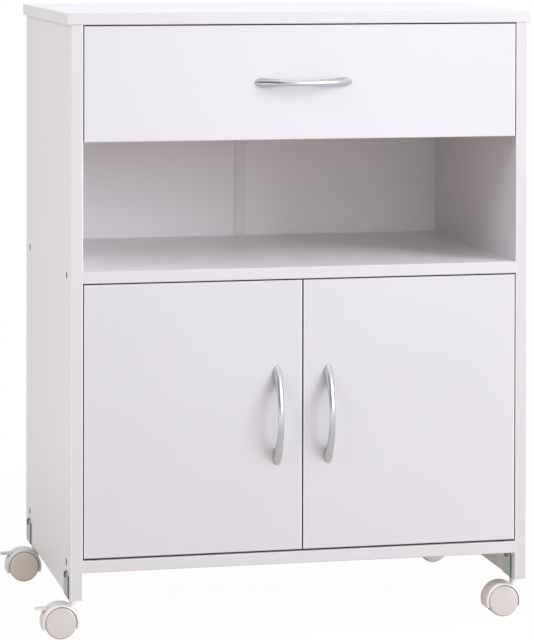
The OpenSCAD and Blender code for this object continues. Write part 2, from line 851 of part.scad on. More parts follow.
// The pins of the doors, half in the door and half in the bush
module door_pins() {
  translate([-hinge_x, pivot_back, 0]) {
    translate([0, 0, door_z - bottom_gap - hinge_pin_out])
      cylinder(d = hinge_pin_d, h = hinge_pin_out + bottom_gap + hinge_pin_in - pass_play);
    translate([0, 0, door_z + door_h - hinge_pin_in + pass_play])
      cylinder(d = hinge_pin_d, h = hinge_pin_in + top_gap + hinge_pin_out - pass_play);
  }
}

// Strike plate on the back of a door, with two prongs driven into it
module strike_plate() {
  at_strike() {
    translate([-strike_w / 2, 0, -strike_h / 2]) cube([strike_w, strike_t, strike_h]);
    for (x = [-1, 1]) translate([x * strike_w / 4, strike_t / 2, 0])
      rotate([180, 0, 0]) bar_y(prong_d, prong_len + strike_t / 2 - pass_play);
  }
}

module left_door() {
  color("white") home() door_board();
}

module right_door() {
  color("white") home() right_hand() door_board();
}

module left_door_handle() {
  home() at_door_handle() rotate([0, 90, 0]) bow_handle();
}

module right_door_handle() {
  home() right_hand() at_door_handle() rotate([0, 90, 0]) bow_handle();
}

module left_door_screws() {
  color("silver") home() door_screws();
}

module right_door_screws() {
  color("silver") home() right_hand() door_screws();
}

module left_door_pins() {
  color("silver") home() door_pins();
}

module right_door_pins() {
  color("silver") home() right_hand() door_pins();
}

module left_strike_plate() {
  color("silver") home() strike_plate();
}

module right_strike_plate() {
  color("silver") home() right_hand() strike_plate();
}

// Castors: every one hangs from the middle of a side panel's lower edge, wheels to the left
module at_castor(side, y) {
  home() translate([side * clamp_x, y, 0]) children();
}

// Bent steel clamp round the panel, with the swivel stem under its web
module clamp() {
  w = board_t + 2 * clamp_t;
  bend = clamp_t + 0.3;
  color("lightsteelblue") {
    difference() {
      intersection() {
        translate([0, -clamp_len / 2, 0]) along_y(clamp_len) difference() {
          translate([-w / 2, castor_h - clamp_t]) round_rect(w, 2 * clamp_h, bend);
          translate([-board_t / 2, castor_h]) square([board_t, 3 * clamp_h]);
        }
        translate([-w, 0, castor_h]) along_x(2 * w) clamp_outline();
      }
      translate([-board_t, 0, castor_h + clamp_screw_up]) bar_x(screw_d + 2 * snug, 2 * board_t);
    }
    translate([0, 0, castor_h - clamp_t - collar_h])
      cylinder(d = stem_d + 3, h = collar_h + clamp_t / 2);
    translate([0, 0, stem_low]) cylinder(d = stem_d, h = castor_h - clamp_t / 2 - stem_low);
  }
}

// Side view of a clamp: straight flanks, then slopes up to the round head over the screw
module clamp_outline() {
  head = clamp_h - clamp_screw_up;
  half = clamp_len / 2;
  flank = clamp_h * 0.84;
  polygon([[-half, -clamp_t], [half, -clamp_t], [half, flank], [head * 0.8, clamp_h - head * 0.4],
    [-head * 0.8, clamp_h - head * 0.4], [-half, flank]]);
  translate([0, clamp_screw_up]) circle(head);
}

// Section of the hood's shell, from the axle outwards, across the wheels, its shoulders round
module shell_profile() {
  e = hood_t * 0.75;
  polygon(concat(
    [[hood_in, -hood_half]],
    [for (a = [0:15:90]) [hood_out - e + e * sin(a), hood_soft - hood_half - hood_soft * cos(a)]],
    [for (a = [90:-15:0]) [hood_out - e + e * sin(a), hood_half - hood_soft + hood_soft * cos(a)]],
    [[hood_in, hood_half]]));
}

// Hood with its block between the wheels and the neck that takes the stem
module hood(braked) {
  span = 180 + 2 * hood_drop;
  color("antiquewhite") difference() {
    union() {
      translate([-trail, 0, hub_z]) rotate([90, 0, 0]) {
        rotate_extrude(angle = span, start = -hood_drop) shell_profile();
        translate([0, 0, -block_w / 2]) linear_extrude(block_w) intersection() {
          circle(hood_in + hood_t / 2);
          union() {
            translate([-2 * wheel_r, -wheel_r / 4]) square([4 * wheel_r, 3 * wheel_r]);
            circle(wheel_r * 0.45);
          }
        }
      }
      translate([0, 0, hub_z]) cylinder(d = block_w, h = neck_top - hub_z);
    }
    translate([0, 0, stem_low - 1]) cylinder(d = stem_d + 2 * run_play, h = castor_h);
    translate([-trail, -block_w, hub_z]) bar_y(axle_d + 2 * snug, 2 * block_w);
    if (braked) {
      brake_slot();
      for (a = flat_angles) translate([-trail, 0, hub_z]) rotate([0, -a, 0])
        translate([-hood_out, -wheel_face, hood_out - flat_deep])
          cube([hood_out + flat_reach, 2 * wheel_face, hood_t]);
    }
  }
}

// Window in the shell for the pedal and slot in the block for its arm
module brake_slot() {
  translate([-trail, 0, hub_z]) {
    translate([-2 * wheel_r, -lever_w / 2 - 0.5, slot_low])
      cube([2 * wheel_r + pedal_in + 0.8, lever_w + 1, pivot_z + lever_t / 2 + 0.6 - slot_low]);
    translate([pedal_in - 1, -arm_w / 2 - 0.5, slot_low])
      cube([pivot_x - pedal_in + 4, arm_w + 1, wheel_r]);
    translate([pivot_x, -block_w, pivot_z]) bar_y(pivot_d + 2 * run_play, 2 * block_w);
  }
}

// Brake lever: round-ended pedal outside the hood, arm and pivot inside its block
module lever() {
  color("whitesmoke") translate([-trail, 0, hub_z]) {
    intersection() {
      translate([0, -lever_w / 2, 0]) along_y(lever_w) polygon([
        [lever_tip + 1, lever_low + 0.4], [pedal_in, lever_low], [pedal_in, lever_low + lever_t],
        [lever_tip + 1, lever_low + lever_t], [lever_tip, lever_low + lever_t - 0.8],
        [lever_tip, lever_low + 1.4]]);
      translate([lever_tip, -lever_w / 2, 0]) linear_extrude(wheel_d)
        round_rect(2 * (pedal_in - lever_tip), lever_w, pedal_round);
    }
    translate([0, -arm_w / 2, 0]) along_y(arm_w) {
      translate([pedal_in - 1, lever_low]) square([pivot_x - pedal_in + 1, lever_t]);
      translate([pivot_x, pivot_z]) circle(d = lever_t);
    }
    translate([pivot_x, -block_w / 2, pivot_z]) bar_y(pivot_d, block_w);
  }
}

module axle() {
  half = wheel_face - face_t - 0.4;
  color("silver") translate([-trail, -half, hub_z]) bar_y(axle_d, 2 * half);
}

// Hollow wheel on the side s of the block, closed by a domed face
module wheel(s) {
  e = shoulder_r;
  hub_r = axle_d / 2 + hub_t;
  rim_in = wheel_r - rim_t;
  bore_r = axle_d / 2 + run_play;
  color("antiquewhite") translate([-trail, 0, hub_z]) rotate([s * -90, 0, 0])
    rotate_extrude() polygon(concat(
      [for (i = [0:6]) [(wheel_r - e) * i / 6, wheel_face + wheel_dome * cos(90 * i / 6) - wheel_dome]],
      [for (a = [75:-15:0]) [wheel_r - e + e * cos(a), wheel_face - wheel_dome - e + e * sin(a)]],
      [[wheel_r, wheel_side + 1], [wheel_r - 1, wheel_side], [rim_in, wheel_side],
       [rim_in, wheel_face - face_t], [hub_r, wheel_face - face_t], [hub_r, wheel_side],
       [bore_r, wheel_side], [bore_r, wheel_face - face_t + 0.2], [0, wheel_face - face_t + 0.2]]));
}

module front_left_clamp() { at_castor(-1, castor_ys[0]) clamp(); }
module front_left_hood() { at_castor(-1, castor_ys[0]) hood(true); }
module front_left_axle() { at_castor(-1, castor_ys[0]) axle(); }
module front_left_wheel_a() { at_castor(-1, castor_ys[0]) wheel(-1); }
module front_left_wheel_b() { at_castor(-1, castor_ys[0]) wheel(1); }
module front_left_brake_lever() { at_castor(-1, castor_ys[0]) lever(); }

module front_right_clamp() { at_castor(1, castor_ys[0]) clamp(); }
module front_right_hood() { at_castor(1, castor_ys[0]) hood(false); }
module front_right_axle() { at_castor(1, castor_ys[0]) axle(); }
module front_right_wheel_a() { at_castor(1, castor_ys[0]) wheel(-1); }
module front_right_wheel_b() { at_castor(1, castor_ys[0]) wheel(1); }

module rear_left_clamp() { at_castor(-1, castor_ys[1]) clamp(); }
module rear_left_hood() { at_castor(-1, castor_ys[1]) hood(true); }
module rear_left_axle() { at_castor(-1, castor_ys[1]) axle(); }
module rear_left_wheel_a() { at_castor(-1, castor_ys[1]) wheel(-1); }
module rear_left_wheel_b() { at_castor(-1, castor_ys[1]) wheel(1); }
module rear_left_brake_lever() { at_castor(-1, castor_ys[1]) lever(); }

module rear_right_clamp() { at_castor(1, castor_ys[1]) clamp(); }
module rear_right_hood() { at_castor(1, castor_ys[1]) hood(false); }
module rear_right_axle() { at_castor(1, castor_ys[1]) axle(); }
module rear_right_wheel_a() { at_castor(1, castor_ys[1]) wheel(-1); }
module rear_right_wheel_b() { at_castor(1, castor_ys[1]) wheel(1); }

top_panel();
left_side_panel();
right_side_panel();
middle_shelf();
bottom_panel();
left_back_panel();
right_back_panel();
back_joint_strip();
connector_screws();
cam_connectors();
pan_head_screws();
left_cabinet_rail();
right_cabinet_rail();
left_cabinet_roller();
right_cabinet_roller();
hinge_bushes();
magnet_catch();
drawer_front();
drawer_left_side();
drawer_right_side();
drawer_back();
drawer_bottom();
drawer_handle();
drawer_fasteners();
left_drawer_rail();
right_drawer_rail();
left_drawer_roller();
right_drawer_roller();
left_door();
left_door_handle();
left_door_screws();
left_door_pins();
left_strike_plate();
right_door();
right_door_handle();
right_door_screws();
right_door_pins();
right_strike_plate();
front_left_clamp();
front_left_hood();
front_left_axle();
front_left_wheel_a();
front_left_wheel_b();
front_left_brake_lever();
front_right_clamp();
front_right_hood();
front_right_axle();
front_right_wheel_a();
front_right_wheel_b();
rear_left_clamp();
rear_left_hood();
rear_left_axle();
rear_left_wheel_a();
rear_left_wheel_b();
rear_left_brake_lever();
rear_right_clamp();
rear_right_hood();
rear_right_axle();
rear_right_wheel_a();
rear_right_wheel_b();
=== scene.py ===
# %% [markdown]
# A low cabinet on castors, for a printer: white melamine board, one drawer over an open bay,
# two doors below, satin bow handles and four twin-wheel castors in ivory plastic.
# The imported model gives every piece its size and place, in metres, with the front facing -Y.
# This notebook gives the pieces their finish and puts finer meshes where the eye rests.

# %% Load the frame
import math

import bmesh
import bpy
from mathutils import Matrix, Vector


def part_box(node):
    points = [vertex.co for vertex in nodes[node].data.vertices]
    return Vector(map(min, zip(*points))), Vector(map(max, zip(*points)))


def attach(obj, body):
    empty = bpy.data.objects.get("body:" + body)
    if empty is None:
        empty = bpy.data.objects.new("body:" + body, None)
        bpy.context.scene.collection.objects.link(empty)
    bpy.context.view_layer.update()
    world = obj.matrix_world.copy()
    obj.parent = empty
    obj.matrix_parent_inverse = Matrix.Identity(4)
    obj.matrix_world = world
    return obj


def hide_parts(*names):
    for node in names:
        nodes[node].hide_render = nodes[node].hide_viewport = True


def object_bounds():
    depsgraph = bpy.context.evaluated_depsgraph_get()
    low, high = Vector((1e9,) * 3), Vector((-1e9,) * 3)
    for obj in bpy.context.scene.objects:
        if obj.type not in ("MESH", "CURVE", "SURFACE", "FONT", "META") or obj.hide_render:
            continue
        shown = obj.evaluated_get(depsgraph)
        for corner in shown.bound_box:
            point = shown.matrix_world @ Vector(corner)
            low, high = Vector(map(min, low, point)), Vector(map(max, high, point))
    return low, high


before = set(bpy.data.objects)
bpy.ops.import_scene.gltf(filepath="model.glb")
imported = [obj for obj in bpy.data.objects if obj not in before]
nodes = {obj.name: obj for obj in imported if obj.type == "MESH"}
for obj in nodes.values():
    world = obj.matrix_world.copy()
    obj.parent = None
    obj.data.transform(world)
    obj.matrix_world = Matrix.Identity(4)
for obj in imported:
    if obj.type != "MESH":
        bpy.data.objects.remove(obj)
cad_low, cad_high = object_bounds()
print("pieces in the frame:", len(nodes), "box:", [round(v, 4) for v in cad_high - cad_low])

# %% [markdown]
# The camera comes first. The photograph was taken from the left, from a good three metres,
# at about the height of the worktop, with a long lens. Its upright edges stay upright, as with
# a shifted lens, so the camera looks level and the frame is moved down instead. The place,
# the angles and the lens were solved from the edges of the boards in the photograph.

# %% Camera
IMAGE_W, IMAGE_H = 534, 640
FOCAL_PX = 2962.37
CENTRE_Y_PX = -42.60
SENSOR_MM = 36.0
FARTHEST = 50.0
EYE = Vector((-0.8442, -3.8077, 0.9002))
YAW, PITCH, ROLL = (math.radians(angle) for angle in (12.668, 0.782, 0.103))


def link_object(name, data):
    """A new object in the scene that shows the data."""
    made = bpy.data.objects.new(name, data)
    bpy.context.scene.collection.objects.link(made)
    return made


camera_data = bpy.data.cameras.new("camera")
camera_data.sensor_fit = "HORIZONTAL"
camera_data.sensor_width = SENSOR_MM
camera_data.lens = FOCAL_PX / IMAGE_W * SENSOR_MM
camera_data.shift_y = -(IMAGE_H / 2 - CENTRE_Y_PX) / IMAGE_W
camera_data.clip_end = FARTHEST
camera = link_object("camera", camera_data)
look = Vector((math.sin(YAW) * math.cos(PITCH), math.cos(YAW) * math.cos(PITCH), -math.sin(PITCH)))
level_right = Vector((math.cos(YAW), -math.sin(YAW), 0))
level_up = level_right.cross(look)
right = level_right * math.cos(ROLL) + level_up * math.sin(ROLL)
up = right.cross(look)
camera.matrix_world = Matrix.Translation(EYE) @ Matrix((right, up, -look)).transposed().to_4x4()
bpy.context.scene.camera = camera
print("lens:", round(camera_data.lens, 1), "mm, shift:", round(camera_data.shift_y, 3))

# %% [markdown]
# Colours are written as hex values, the way a paint chart gives them, and Blender works in
# linear light, so one function turns the first into the second. A second function adds a node
# to a material with its settings, values and links, and the others are short forms of it for
# what the finishes below do again and again: blend two colours, compare numbers, add grain.

# %% Colour and node helpers
MM = 0.001


def linear(hex_colour):
    """Linear RGBA of an sRGB hex colour."""
    channels = [int(hex_colour[i:i + 2], 16) / 255 for i in (1, 3, 5)]
    return [c / 12.92 if c <= 0.04045 else ((c + 0.055) / 1.055) ** 2.4 for c in channels] + [1]


def add(tree, kind, values=None, links=None, **settings):
    """Adds a shader node, with values for its sockets by name and links from other nodes."""
    node = tree.nodes.new("ShaderNode" + kind)
    for key, value in settings.items():
        setattr(node, key, value)
    for socket, value in (values or {}).items():
        node.inputs[socket].default_value = value
    for socket, output in (links or {}).items():
        tree.links.new(output, node.inputs[socket])
    return node


def add_mixed(tree, kind, given, **settings):
    """Adds a node whose sockets are given as outputs, numbers or hex colours."""
    links = {key: what for key, what in given.items() if isinstance(what, bpy.types.NodeSocket)}
    values = {key: linear(what) if isinstance(what, str) else what
              for key, what in given.items() if key not in links}
    return add(tree, kind, values, links, **settings)


def blend(tree, one, other, factor, **settings):
    """The colour between two colours, at a factor from 0 to 1."""
    given = {"A": one, "B": other, "Factor": factor}
    return add_mixed(tree, "Mix", given, data_type="RGBA", **settings).outputs["Result"]


def maths(tree, operation, *sides):
    """What one operation makes of a number or two."""
    return add_mixed(tree, "Math", dict(enumerate(sides)), operation=operation).outputs[0]


def own_place(tree):
    """The place on the piece in metres, as it is at rest."""
    return add(tree, "TexCoord").outputs["Object"]


def facing(tree):
    """How far the surface looks along X, Y and Z, each from -1 to 1."""
    normal = add(tree, "TexCoord").outputs["Normal"]
    return add(tree, "SeparateXYZ", links={"Vector": normal}).outputs


def faces_along(tree, axis, limit):
    """1 on faces that look along an axis, either way, 0 on all others."""
    return maths(tree, "GREATER_THAN", maths(tree, "ABSOLUTE", facing(tree)[axis]), limit)


def noise(tree, grain_mm, detail=2.0):
    """Noise from 0 to 1 whose grain is a real size, in the piece's own space."""
    values = {"Scale": 1 / (grain_mm * MM), "Detail": detail}
    return add(tree, "TexNoise", values, {"Vector": own_place(tree)}).outputs["Fac"]


def new_finish(name, **shader_values):
    """A material with one principled shader, returned with its node tree and the shader."""
    finish = bpy.data.materials.new(name)
    finish.use_nodes = True
    shader = finish.node_tree.nodes["Principled BSDF"]
    for socket, value in shader_values.items():
        shader.inputs[socket.replace("_", " ")].default_value = value
    return finish, finish.node_tree, shader


def paint(tree, shader, colour):
    """Drives the shader's colour by an output."""
    tree.links.new(colour, shader.inputs["Base Color"])


def relief(tree, shader, height, depth_mm, strength):
    """Bumps the shader by a height pattern of the given depth."""
    values = {"Strength": strength, "Distance": depth_mm * MM}
    bump = add(tree, "Bump", values, {"Height": height})
    tree.links.new(bump.outputs["Normal"], shader.inputs["Normal"])


print("the carcass's white as linear light:", [round(v, 3) for v in linear("#F4F1F6")])

# %% [markdown]
# The boards are chipboard faced with white melamine paper, pressed against a plate with a fine
# pearl grain. That gives a satin white that scatters light widely with a soft, low sheen.
# The doors are painted a little greyer than the drawer front, and both greyer than most of
# the carcass: painted shade, set for how the light falls on each of these boards.
# The right side panel, inside the bay as well as in front, is painted a shade greyer than the
# left one: painted shade for the dim right wall of the bay.
# The front edges are closed with a 1 mm ABS band, a shade greyer than the face. On the carcass
# the band is the first millimetre behind the front plane. The doors and the drawer front
# are banded all round, so there the band is whatever doesn't face forward or back.
# The rounding along each upright edge is painted lighter: a painted highlight where the rounded
# edges catch the light.
# The tone is darkened in the narrow gaps round the doors and the drawer: painted shade, found by
# ambient occlusion.

# %% Melamine board
FRONT_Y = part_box("left_side_panel")[0].y
BAND_MM = 1.0
CLOUD_MM = 180
PEARL_MM = 2.4  # the real grain is about 0.5 mm, drawn coarser so that it shows
GAP_REACH_MM = 6.0
# darkest share of the painted shade in the gaps
GAP_SHADE_TONE = 0.5
GAP_SHUT, GAP_OPEN = 0.1, 0.4  # shares of open sky at which the gap tone is full and is gone
# tone of the painted highlight on the rounded upright edges
PAINTED_EDGE_HIGHLIGHT = "#F6F4F8"
ARRIS_TURN = 0.15  # the product of the two shares of a normal on a rounded edge is above this


def rounding(tree):
    """1 on the rounded upright edges, whose normals lie between forward and sideways."""
    normal = facing(tree)
    both = maths(tree, "MULTIPLY", normal["X"], normal["Y"])
    return maths(tree, "GREATER_THAN", maths(tree, "ABSOLUTE", both), ARRIS_TURN)


def painted_gap_shade(tree):
    """1 on open faces, falling to the gap shade tone inside gaps a few millimetres wide: painted
    shade.
    """
    seen = add(tree, "AmbientOcclusion", {"Distance": GAP_REACH_MM * MM}, samples=8).outputs["AO"]
    values = {"From Min": GAP_SHUT, "From Max": GAP_OPEN, "To Min": GAP_SHADE_TONE}
    return add(tree, "MapRange", values, {"Value": seen}).outputs[0]


def front_band(tree):
    """1 on the first millimetre behind the carcass's front plane."""
    depth = add(tree, "SeparateXYZ", links={"Vector": own_place(tree)}).outputs["Y"]
    return maths(tree, "LESS_THAN", depth, FRONT_Y + BAND_MM * MM)


def all_round_band(tree):
    """1 on the four edges of a door or drawer front."""
    return maths(tree, "SUBTRACT", 1.0, faces_along(tree, "Y", limit=0.5))


def melamine(name, dark, light, band, band_mask):
    """Board with faces between two near tones and a band where the mask is 1."""
    finish, tree, shader = new_finish(name, IOR=1.52, Roughness=0.30)
    face = blend(tree, dark, light, noise(tree, CLOUD_MM, detail=1.0))
    edge = blend(tree, face, band, band_mask(tree))
    # painted highlight: the rounded upright edges are set lighter than face and band
    edge_with_highlight = blend(tree, edge, PAINTED_EDGE_HIGHLIGHT, rounding(tree))
    # painted shade: the tone is multiplied down inside the narrow gaps
    paint(tree, shader, blend(tree, edge_with_highlight, painted_gap_shade(tree), 1.0, blend_type="MULTIPLY"))
    relief(tree, shader, noise(tree, PEARL_MM), depth_mm=0.03, strength=0.35)
    return finish


carcass_board = melamine("white_melamine_board", "#F4F1F6", "#F8F5FA", "#CFCCD0", front_band)
# painted shade: the right side panel is set greyer than the left one
shaded_right_board = melamine("white_melamine_right_side_painted_shade", "#E3E0E5", "#E7E4E9", "#CBC8CC", front_band)
# painted shade: the fronts are set greyer than the carcass, the doors most of all
drawer_board = melamine("white_melamine_drawer_front", "#CECCD1", "#D2D0D5", "#BCBABF",
                        all_round_band)
shaded_door_board = melamine("white_melamine_door_painted_shade", "#CBC9CE", "#CFCDD2", "#B9B6BB", all_round_band)
print("front plane at y =", round(FRONT_Y, 4))

# %% [markdown]
# The back panels and the drawer bottom are 3 mm fibreboard, printed white on the face that
# shows inside and left raw on the other. Raw fibreboard is a soft brown felt of fibres, so its
# colour wanders over a few millimetres. The raw face is picked by the way that it faces.

# %% Fibreboard
FIBRE_MM = 3.0
PRINT_CLOUD_MM = 120


def fibreboard(name, raw_axis, raw_sign):
    """Board that is raw on the side that looks along an axis, towards plus or minus."""
    finish, tree, shader = new_finish(name, IOR=1.50, Roughness=0.5)
    fibres = noise(tree, FIBRE_MM, detail=6.0)
    raw = blend(tree, "#A98D6B", "#C2A884", fibres)
    white = blend(tree, "#F3F0F4", "#F8F5F9", noise(tree, PRINT_CLOUD_MM, detail=1.0))
    turned = maths(tree, "MULTIPLY", facing(tree)[raw_axis], raw_sign)
    is_raw = maths(tree, "GREATER_THAN", turned, 0.5)
    paint(tree, shader, blend(tree, white, raw, is_raw))
    relief(tree, shader, fibres, depth_mm=0.04, strength=0.4)
    return finish


back_board = fibreboard("white_faced_fibreboard_back", "Y", 1)
tray_board = fibreboard("white_faced_fibreboard_tray", "Z", -1)
print("fibreboard finishes:", back_board.name, tray_board.name)

# %% [markdown]
# Small fittings, such as the rollers, the magnet catch and the strip between the back panels,
# are moulded in acetal or PVC: a plain milky white, smoother than the board. The hinge bushes
# are black acetal, so nothing pale shows in the dark gaps above and below the doors.
# Along the lips of the strip, where they meet the panels, the sideways faces are painted dark:
# painted shade for the groove there.
# The castors are moulded in ivory nylon. Nylon is a little translucent, so its tone is warm and
# soft, with faint flow clouds a few millimetres wide and a satin shine on its domed faces.
# The rear left wheels are painted lighter and warmer than the others: painted light, standing in
# for the warm light thrown up from the floor under the cabinet.

# %% Moulded plastic
PLAIN = {"ior": 1.48, "cloud_mm": 4}
NYLON = {"ior": 1.53, "cloud_mm": 9}
MOULD_GRAIN_MM = 0.9


def moulded(name, dark, light, roughness, ior, cloud_mm, flank=None):
    """Plastic between two near tones, with another tone on the faces that look sideways: painted
    shade.
    """
    finish, tree, shader = new_finish(name, IOR=ior, Roughness=roughness)
    colour = blend(tree, dark, light, noise(tree, cloud_mm, detail=3.0))
    if flank:
        colour = blend(tree, colour, flank, faces_along(tree, "X", limit=0.7))
    paint(tree, shader, colour)
    relief(tree, shader, noise(tree, MOULD_GRAIN_MM), depth_mm=0.01, strength=0.3)
    return finish


white_plastic = moulded("moulded_white_acetal", "#EAE8EA", "#F0EEEF", roughness=0.38, **PLAIN)
black_plastic = moulded("moulded_black_acetal", "#1B1B1C", "#262627", roughness=0.42, **PLAIN)
# painted shade: the sideways faces of the strip's lips are set dark
strip_plastic = moulded("extruded_white_pvc", "#E9E6EA", "#EFECF0", roughness=0.45,
                        ior=PLAIN["ior"], cloud_mm=30, flank="#5A585A")
ivory_hood = moulded("moulded_ivory_nylon_hood", "#EFE9E6", "#F4EFEC", roughness=0.36, **NYLON)
# painted shade: the wheels are set darker than the hoods of the same nylon
shaded_ivory_wheel = moulded("moulded_ivory_nylon_wheel_painted_shade", "#CCC5C3", "#D2CCCA", roughness=0.33, **NYLON)
# painted light: the rear left wheel is set lighter and warmer than the others
lit_rear_left_wheel = moulded("moulded_ivory_nylon_painted_warm_light", "#F4E8DB", "#F7ECE0", roughness=0.33,
                         **NYLON)
ivory_lever = moulded("moulded_ivory_nylon_lever", "#DFDCD9", "#E6E4E2", roughness=0.40,
                      ior=NYLON["ior"], cloud_mm=7)
print("plastics of the small fittings and the castors ready")

# %% [markdown]
# The bow handles are zinc castings, tumbled and plated with satin nickel. The plating is a warm
# grey metal whose tiny blasted pits spread its reflections into soft streaks of light.
# Axles, pins and cams are steel, bright zinc-plated in a barrel, which leaves a bluish grey with
# darker flecks. The clamps are cut from sheet with a greener zinc, and their front and back edges
# are painted dark: painted shade for the narrow gap between plate and panel. The screws that show
# are black oxide steel, nearly black and dull, and on the pan heads of the clamps the faces that
# look along Y are a light grey.
# The runners are rolled from sheet and coated with white powder, which dries to a fine orange
# peel.

# %% Plated and coated metal
BLASTED = {"grain_mm": 0.6, "depth_mm": 0.01, "strength": 0.25}
PLATED = {"grain_mm": 0.8, "depth_mm": 0.02, "strength": 0.3}
ROLLED = {"grain_mm": 1.5, "depth_mm": 0.03, "strength": 0.4}


def metal(name, dark, light, roughness, cloud_mm, grain_mm, depth_mm, strength, y_face_tone=None):
    """Metal between two tones, with an optional third tone and how far a face must look along Y to
    take it.
    """
    finish, tree, shader = new_finish(name, Metallic=1.0, Roughness=roughness)
    colour = blend(tree, dark, light, noise(tree, cloud_mm, detail=4.0))
    if y_face_tone:
        other, limit = y_face_tone
        colour = blend(tree, colour, other, faces_along(tree, "Y", limit))
    paint(tree, shader, colour)
    relief(tree, shader, noise(tree, grain_mm, detail=3.0), depth_mm, strength)
    return finish


satin_nickel = metal("satin_nickel_plating", "#C4C4C7", "#D0D0D3",
                     roughness=0.26, cloud_mm=12, **BLASTED)
zinc_steel = metal("bright_zinc_plating", "#9EA3AA", "#BFC3C8",
                   roughness=0.34, cloud_mm=3, **PLATED)
black_steel = metal("black_oxide_steel", "#232326", "#38383B",
                    roughness=0.5, cloud_mm=2, **PLATED)
# painted shade: the clamps' front and back edges are set dark
clamp_steel = metal("passivated_zinc_sheet", "#A2ACA8", "#B8C1BD",
                    roughness=0.38, cloud_mm=5, y_face_tone=("#5E6060", 0.6), **ROLLED)
# the faces of the pan heads that look along Y take a light grey
screw_steel = metal("black_oxide_steel_light_rim", "#3A3C3C", "#4C4F4E",
                    roughness=0.45, cloud_mm=5, y_face_tone=("#A9AFAC", 0.75), **ROLLED)
white_steel, tree, shader = new_finish("white_powder_coated_steel", IOR=1.50, Roughness=0.4)
paint(tree, shader, blend(tree, "#E6E7E8", "#ECEDEE", noise(tree, grain_mm=25)))
relief(tree, shader, noise(tree, grain_mm=1.2), depth_mm=0.03, strength=0.5)
print("metals ready")

# %% [markdown]
# Each node now gets the finish of what it is made of. The names say what the pieces are,
# so the finish is looked up by a word in the name, and the first word that fits is taken.

# %% Give every node its finish
FINISH_BY_WORD = [
    ("drawer_front", drawer_board), ("drawer_bottom", tray_board), ("back_panel", back_board),
    ("joint_strip", strip_plastic), ("connector_screws", black_steel), ("catch", white_plastic),
    ("pan_head", screw_steel), ("bushes", black_plastic), ("roller", white_plastic),
    ("rail", white_steel), ("door_pins", black_steel), ("hood", ivory_hood),
    ("rear_left_wheel", lit_rear_left_wheel), ("wheel", shaded_ivory_wheel), ("brake_lever", ivory_lever),
    ("handle", satin_nickel), ("clamp", clamp_steel), ("axle", zinc_steel),
    ("screws", zinc_steel), ("fasteners", zinc_steel), ("connectors", zinc_steel),
    ("strike", zinc_steel), ("_door", shaded_door_board), ("right_side", shaded_right_board),
    ("", carcass_board)]

for name, piece in nodes.items():
    finish = next(f for word, f in FINISH_BY_WORD if word in name)
    piece.data.materials.clear()
    piece.data.materials.append(finish)
print("finished nodes:", len(nodes))

# %% [markdown]
# A bow handle is a bar swept along an arc. Its section is an oval that is slim at the waist and
# swells into two feet. The sweep runs on past the feet and is then cut flat where they meet the
# panel. The swept mesh takes many more rings than the solid in the frame, so its highlight runs
# smoothly from foot to foot.

# %% Bow handles
HOLE_SPACING = 96 * MM
FOOT_SHIFT = 4 * MM
FOOT_LENGTH = 20 * MM
WAIST_W, WAIST_T, FOOT_W = 7.4 * MM, 6.4 * MM, 12 * MM
RINGS, SIDES = 120, 40
RUN_ON = 1.18
SWELL = 2.2  # the power at which the bar grows from the waist to the feet
CORNERS_OF_FLAT = 8  # the bar's own faces have fewer corners than this, the cut feet have more


def to_data(mesh, name):
    """Turns working mesh into the kind that an object can show."""
    data = bpy.data.meshes.new(name)
    mesh.to_mesh(data)
    mesh.free()
    return data


def handle_rings(mesh, middle, along, rise):
    """Rings of points along the arc, from foot to foot and a little past them."""
    half = HOLE_SPACING / 2 + FOOT_SHIFT
    radius = (half * half + rise * rise) / (2 * rise)
    foot_angle = math.asin(half / radius)
    foot_t = FOOT_LENGTH * math.sin(foot_angle)
    across = Vector((0, 1, 0)).cross(along)
    rings = []
    for i in range(RINGS + 1):
        angle = foot_angle * RUN_ON * (2 * i / RINGS - 1)
        flare = (abs(angle) / foot_angle) ** SWELL
        wide = (WAIST_W + (FOOT_W - WAIST_W) * min(1, flare)) / 2
        thick = (WAIST_T + (foot_t - WAIST_T) * flare) / 2
        ring = []
        for j in range(SIDES):
            turn = 2 * math.pi * j / SIDES
            out = radius + thick * math.cos(turn)
            point = middle + along * (out * math.sin(angle)) + across * (wide * math.sin(turn))
            point.y += radius - rise - out * math.cos(angle)
            ring.append(mesh.verts.new(point))
        rings.append(ring)
    return rings


def bow_handle(name, node, body, along):
    """Sweeps a handle where the frame has one; along is the direction of its length."""
    low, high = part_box(node)
    middle = (low + high) / 2
    middle.y = high.y
    mesh = bmesh.new()
    rings = handle_rings(mesh, middle, along, high.y - low.y - WAIST_T / 2)
    for one, two in zip(rings, rings[1:]):
        for j in range(SIDES):
            mesh.faces.new((one[j], two[j], two[(j + 1) % SIDES], one[(j + 1) % SIDES]))
    mesh.faces.new(rings[0])
    mesh.faces.new(list(reversed(rings[-1])))
    everything = list(mesh.verts) + list(mesh.edges) + list(mesh.faces)
    cut = bmesh.ops.bisect_plane(mesh, geom=everything, plane_co=middle, plane_no=(0, 1, 0),
                                 clear_outer=True)
    cut_edges = [e for e in cut["geom_cut"] if isinstance(e, bmesh.types.BMEdge)]
    bmesh.ops.holes_fill(mesh, edges=cut_edges)
    bmesh.ops.recalc_face_normals(mesh, faces=mesh.faces)
    for face in mesh.faces:
        face.smooth = len(face.verts) < CORNERS_OF_FLAT
    piece = link_object(name, to_data(mesh, name))
    piece.data.materials.append(satin_nickel)
    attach(piece, body)
    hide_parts(node)


bow_handle("drawer_bow_handle", "drawer_handle", "drawer", Vector((1, 0, 0)))
bow_handle("left_door_bow_handle", "left_door_handle", "left_door", Vector((0, 0, 1)))
bow_handle("right_door_bow_handle", "right_door_handle", "right_door", Vector((0, 0, 1)))
print("handles swept with", RINGS, "rings")

